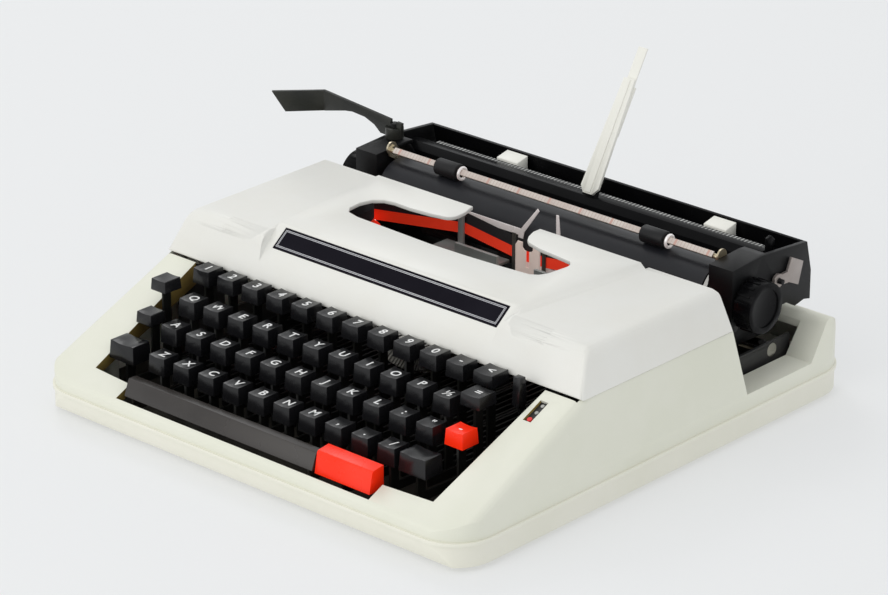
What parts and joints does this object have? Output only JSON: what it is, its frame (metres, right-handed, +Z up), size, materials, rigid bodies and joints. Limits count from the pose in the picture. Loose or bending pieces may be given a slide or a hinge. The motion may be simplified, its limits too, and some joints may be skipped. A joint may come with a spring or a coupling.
{
  "type": "manual typewriter",
  "caption": "Portable manual typewriter: wedge-shaped case with four rows of keys, a lift-off ribbon cover over the type basket, and a sliding carriage with platen, return lever and paper arm.",
  "frame": {"origin": "middle of the bounding box at the underside of the feet", "axes": "+X to the typist's right along the carriage, +Y to the back of the machine, +Z up"},
  "size_m": [0.3746, 0.331, 0.165],
  "materials": {
    "case_plastic": "moulded off-white plastic, slightly satin",
    "rubber": "black rubber",
    "screw_steel": "zinc-plated",
    "frame_steel": "dark grey painted steel",
    "bright_steel": "nickel-plated, aged",
    "ribbon_fabric": "inked woven ribbon, red and black",
    "black_plastic": "black moulded plastic",
    "red_plastic": "red moulded plastic",
    "ivory_plastic": "ivory moulded plastic",
    "badge_metal": "blue-black enamel with silver border lines",
    "black_paint": "black crinkle paint",
    "platen_rubber": "charcoal ground rubber",
    "brass": "aged brass",
    "scale_metal": "pinkish grey with red and brown graduations",
    "lever_metal": "satin black"
  },
  "bodies": {
    "machine": {"base_pan": "case_plastic", "rubber_feet": "rubber", "body_shell": "case_plastic", "case_screws": "screw_steel", "main_frame": "frame_steel", "carriage_rails": "bright_steel", "type_guide": "bright_steel", "card_holder": "bright_steel", "ribbon": "ribbon_fabric", "bell": "brass"},
    "basket": {"type_segment": "frame_steel", "typebars": "bright_steel"},
    "typebar_h": {"typebar_h": "bright_steel"},
    "vibrator": {"ribbon_vibrator": "bright_steel"},
    "spool_left": {"ribbon_spool_left": "ribbon_fabric"},
    "spool_right": {"ribbon_spool_right": "ribbon_fabric"},
    "selector": {"ribbon_selector": "black_plastic"},
    "cover": {"ribbon_cover": "case_plastic", "badge_plate": "badge_metal"},
    "carriage": {"carriage_frame": "black_paint", "paper_table": "black_paint", "margin_rack": "black_paint"},
    "stop_left": {"margin_stop_left": "ivory_plastic"},
    "stop_right": {"margin_stop_right": "ivory_plastic"},
    "feed": {"feed_rollers": "rubber"},
    "platen": {"platen": "platen_rubber", "knob_left": "black_plastic", "knob_right": "black_plastic", "line_ratchet": "bright_steel"},
    "bail": {"paper_bail": "brass", "bail_scale": "scale_metal"},
    "bail_rollers": {"bail_rollers": "rubber"},
    "return_lever": {"return_lever": "lever_metal"},
    "paper_arm": {"paper_arm": "ivory_plastic"},
    "arm_extension": {"arm_extension": "ivory_plastic"},
    "paper_release": {"paper_release_lever": "black_plastic"},
    "carriage_release": {"carriage_release_lever": "scale_metal"},
    "space_bar": {"space_bar": "black_plastic"},
    "tabulator_bar": {"tabulator_bar": "red_plastic"},
    "shift_keys": {"shift_keys": "black_plastic"},
    "shift_lock": {"shift_lock": "black_plastic"},
    "backspace_key": {"backspace_key": "black_plastic"},
    "function_key": {"function_key": "black_plastic"},
    "clear_key": {"clear_key": "red_plastic"},
    "margin_release_key": {"margin_release_key": "black_plastic"},
    "drum": {"mainspring_drum": "frame_steel"},
    "number_row_keys": {"number_row_keys": "black_plastic"},
    "upper_row_keys": {"upper_row_keys": "black_plastic"},
    "bottom_row_keys": {"bottom_row_keys": "black_plastic"},
    "key_a": {"key_a": "black_plastic"},
    "key_s": {"key_s": "black_plastic"},
    "key_d": {"key_d": "black_plastic"},
    "key_f": {"key_f": "black_plastic"},
    "key_g": {"key_g": "black_plastic"},
    "key_h": {"key_h": "black_plastic"},
    "key_j": {"key_j": "black_plastic"},
    "key_k": {"key_k": "black_plastic"},
    "key_l": {"key_l": "black_plastic"},
    "key_colon": {"key_colon": "black_plastic"},
    "key_quote": {"key_quote": "black_plastic"}
  },
  "joints": [
    {"name": "carriage_slide", "type": "slide", "parent": "machine", "child": "carriage", "axis": [-1, 0, 0], "range_m": [-0.1, 0.1]},
    {"name": "platen_turn", "type": "hinge", "parent": "carriage", "child": "platen", "pos_m": [0.02834, 0.0895, 0.0698], "axis": [1, 0, 0], "continuous": true},
    {"name": "feed_turn", "type": "hinge", "parent": "carriage", "child": "feed", "pos_m": [0.02834, 0.0975, 0.0476], "axis": [1, 0, 0], "continuous": true},
    {"name": "bail_lift", "type": "hinge", "parent": "carriage", "child": "bail", "pos_m": [0.02834, 0.1085, 0.077], "axis": [-1, 0, 0], "range_deg": [0, 60]},
    {"name": "bail_roller_turn", "type": "hinge", "parent": "bail", "child": "bail_rollers", "pos_m": [0.02834, 0.0865, 0.0923], "axis": [1, 0, 0], "continuous": true},
    {"name": "return_lever_swing", "type": "hinge", "parent": "carriage", "child": "return_lever", "pos_m": [-0.10466, 0.1005, 0.097], "axis": [0, 0, 1], "range_deg": [0, 35], "stiffness_Nm_per_rad": 0.4, "springref_deg": -8.59},
    {"name": "paper_arm_fold", "type": "hinge", "parent": "carriage", "child": "paper_arm", "pos_m": [0.03014, 0.1205, 0.094], "axis": [0, 0.8572, -0.515], "range_deg": [0, 90]},
    {"name": "arm_extension_slide", "type": "slide", "parent": "paper_arm", "child": "arm_extension", "axis": [0, 0.515, 0.8572], "range_m": [-0.016, 0.01]},
    {"name": "left_margin_slide", "type": "slide", "parent": "carriage", "child": "stop_left", "axis": [1, 0, 0], "range_m": [-0.034, 0.06]},
    {"name": "right_margin_slide", "type": "slide", "parent": "carriage", "child": "stop_right", "axis": [1, 0, 0], "range_m": [-0.06, 0.022]},
    {"name": "paper_release_pull", "type": "hinge", "parent": "carriage", "child": "paper_release", "pos_m": [0.15834, 0.1175, 0.067], "axis": [1, 0, 0], "range_deg": [0, 14]},
    {"name": "carriage_release_lift", "type": "hinge", "parent": "carriage", "child": "carriage_release", "pos_m": [0.17034, 0.1135, 0.076], "axis": [1, 0, 0], "range_deg": [0, 20]},
    {"name": "drum_turn", "type": "hinge", "parent": "machine", "child": "drum", "pos_m": [-0.06966, 0.1045, 0.015], "axis": [0, 0, 1], "range_deg": [-262, 262]},
    {"name": "left_spool_turn", "type": "hinge", "parent": "machine", "child": "spool_left", "pos_m": [-0.07866, 0.0305, 0.069], "axis": [0, 0, 1], "continuous": true},
    {"name": "right_spool_turn", "type": "hinge", "parent": "machine", "child": "spool_right", "pos_m": [0.13534, 0.0305, 0.069], "axis": [0, 0, 1], "continuous": true},
    {"name": "cover_lift_off", "type": "slide", "parent": "machine", "child": "cover", "axis": [0, 0, 1], "range_m": [0, 0.08]},
    {"name": "basket_shift", "type": "slide", "parent": "machine", "child": "basket", "axis": [0, 0, -1], "range_m": [0, 0.0065]},
    {"name": "typebar_h_strike", "type": "hinge", "parent": "basket", "child": "typebar_h", "pos_m": [0.02834, 0.0245, 0.0318], "axis": [-1, 0, 0], "range_deg": [0, 137.9]},
    {"name": "vibrator_lift", "type": "slide", "parent": "machine", "child": "vibrator", "axis": [0, 0, 1], "range_m": [0, 0.008]},
    {"name": "selector_turn", "type": "hinge", "parent": "machine", "child": "selector", "pos_m": [0.14734, -0.0695, 0.037], "axis": [1, 0, 0], "range_deg": [-10, 10]},
    {"name": "space_bar_press", "type": "hinge", "parent": "machine", "child": "space_bar", "pos_m": [0.02834, 0.0485, 0.015], "axis": [1, 0, 0], "range_deg": [0, 2.1], "stiffness_Nm_per_rad": 0.7194, "springref_deg": -8.59},
    {"name": "tabulator_bar_press", "type": "hinge", "parent": "machine", "child": "tabulator_bar", "pos_m": [0.02834, 0.0485, 0.015], "axis": [1, 0, 0], "range_deg": [0, 2.1], "stiffness_Nm_per_rad": 0.2878, "springref_deg": -8.59},
    {"name": "shift_keys_press", "type": "hinge", "parent": "machine", "child": "shift_keys", "pos_m": [0.02834, 0.0485, 0.015], "axis": [1, 0, 0], "range_deg": [0, 2.6], "stiffness_Nm_per_rad": 0.4316, "springref_deg": -8.59},
    {"name": "backspace_key_press", "type": "hinge", "parent": "machine", "child": "backspace_key", "pos_m": [0.02834, 0.0485, 0.015], "axis": [1, 0, 0], "range_deg": [0, 3.5], "stiffness_Nm_per_rad": 0.0863, "springref_deg": -8.59},
    {"name": "function_key_press", "type": "hinge", "parent": "machine", "child": "function_key", "pos_m": [0.02834, 0.0485, 0.015], "axis": [1, 0, 0], "range_deg": [0, 3.1], "stiffness_Nm_per_rad": 0.0863, "springref_deg": -8.59},
    {"name": "clear_key_press", "type": "hinge", "parent": "machine", "child": "clear_key", "pos_m": [0.02834, 0.0485, 0.015], "axis": [1, 0, 0], "range_deg": [0, 2.9], "stiffness_Nm_per_rad": 0.0863, "springref_deg": -8.59},
    {"name": "margin_release_key_press", "type": "hinge", "parent": "machine", "child": "margin_release_key", "pos_m": [0.02834, 0.0485, 0.015], "axis": [1, 0, 0], "range_deg": [0, 3.1], "stiffness_Nm_per_rad": 0.0863, "springref_deg": -8.59},
    {"name": "number_row_keys_press", "type": "hinge", "parent": "machine", "child": "number_row_keys", "pos_m": [0.02834, 0.0485, 0.015], "axis": [1, 0, 0], "range_deg": [0, 3.6], "stiffness_Nm_per_rad": 0.8633, "springref_deg": -8.59},
    {"name": "upper_row_keys_press", "type": "hinge", "parent": "machine", "child": "upper_row_keys", "pos_m": [0.02834, 0.0485, 0.015], "axis": [1, 0, 0], "range_deg": [0, 3.1], "stiffness_Nm_per_rad": 0.8633, "springref_deg": -8.59},
    {"name": "bottom_row_keys_press", "type": "hinge", "parent": "machine", "child": "bottom_row_keys", "pos_m": [0.02834, 0.0485, 0.015], "axis": [1, 0, 0], "range_deg": [0, 2.6], "stiffness_Nm_per_rad": 0.8633, "springref_deg": -8.59},
    {"name": "key_a_press", "type": "hinge", "parent": "machine", "child": "key_a", "pos_m": [0.02834, 0.0485, 0.015], "axis": [1, 0, 0], "range_deg": [0, 2.9], "stiffness_Nm_per_rad": 0.0863, "springref_deg": -8.59},
    {"name": "key_s_press", "type": "hinge", "parent": "machine", "child": "key_s", "pos_m": [0.02834, 0.0485, 0.015], "axis": [1, 0, 0], "range_deg": [0, 2.9], "stiffness_Nm_per_rad": 0.0863, "springref_deg": -8.59},
    {"name": "key_d_press", "type": "hinge", "parent": "machine", "child": "key_d", "pos_m": [0.02834, 0.0485, 0.015], "axis": [1, 0, 0], "range_deg": [0, 2.9], "stiffness_Nm_per_rad": 0.0863, "springref_deg": -8.59},
    {"name": "key_f_press", "type": "hinge", "parent": "machine", "child": "key_f", "pos_m": [0.02834, 0.0485, 0.015], "axis": [1, 0, 0], "range_deg": [0, 2.9], "stiffness_Nm_per_rad": 0.0863, "springref_deg": -8.59},
    {"name": "key_g_press", "type": "hinge", "parent": "machine", "child": "key_g", "pos_m": [0.02834, 0.0485, 0.015], "axis": [1, 0, 0], "range_deg": [0, 2.9], "stiffness_Nm_per_rad": 0.0863, "springref_deg": -8.59},
    {"name": "key_h_press", "type": "hinge", "parent": "machine", "child": "key_h", "pos_m": [0.02834, 0.0485, 0.015], "axis": [1, 0, 0], "range_deg": [0, 2.9], "stiffness_Nm_per_rad": 0.0863, "springref_deg": -8.59},
    {"name": "key_j_press", "type": "hinge", "parent": "machine", "child": "key_j", "pos_m": [0.02834, 0.0485, 0.015], "axis": [1, 0, 0], "range_deg": [0, 2.9], "stiffness_Nm_per_rad": 0.0863, "springref_deg": -8.59},
    {"name": "key_k_press", "type": "hinge", "parent": "machine", "child": "key_k", "pos_m": [0.02834, 0.0485, 0.015], "axis": [1, 0, 0], "range_deg": [0, 2.9], "stiffness_Nm_per_rad": 0.0863, "springref_deg": -8.59},
    {"name": "key_l_press", "type": "hinge", "parent": "machine", "child": "key_l", "pos_m": [0.02834, 0.0485, 0.015], "axis": [1, 0, 0], "range_deg": [0, 2.9], "stiffness_Nm_per_rad": 0.0863, "springref_deg": -8.59},
    {"name": "key_colon_press", "type": "hinge", "parent": "machine", "child": "key_colon", "pos_m": [0.02834, 0.0485, 0.015], "axis": [1, 0, 0], "range_deg": [0, 2.9], "stiffness_Nm_per_rad": 0.0863, "springref_deg": -8.59},
    {"name": "key_quote_press", "type": "hinge", "parent": "machine", "child": "key_quote", "pos_m": [0.02834, 0.0485, 0.015], "axis": [1, 0, 0], "range_deg": [0, 2.9], "stiffness_Nm_per_rad": 0.0863, "springref_deg": -8.59},
    {"name": "shift_lock_press", "type": "hinge", "parent": "shift_keys", "child": "shift_lock", "pos_m": [-0.09006, -0.0555, 0.01673], "axis": [1, 0, 0], "range_deg": [0, 2.5], "stiffness_Nm_per_rad": 0.08, "springref_deg": -8.59}
  ],
  "couplings": [
    {"joint": "feed_turn", "follows": "platen_turn", "ratio": -2.9167},
    {"joint": "drum_turn", "follows": "carriage_slide", "rad_per_m": 45.455},
    {"joint": "right_spool_turn", "follows": "left_spool_turn", "ratio": 1},
    {"joint": "basket_shift", "follows": "shift_keys_press", "m_per_rad": 0.14323},
    {"joint": "typebar_h_strike", "follows": "key_h_press", "ratio": 47.551},
    {"joint": "vibrator_lift", "follows": "key_h_press", "m_per_rad": 0.15805}
  ]
}
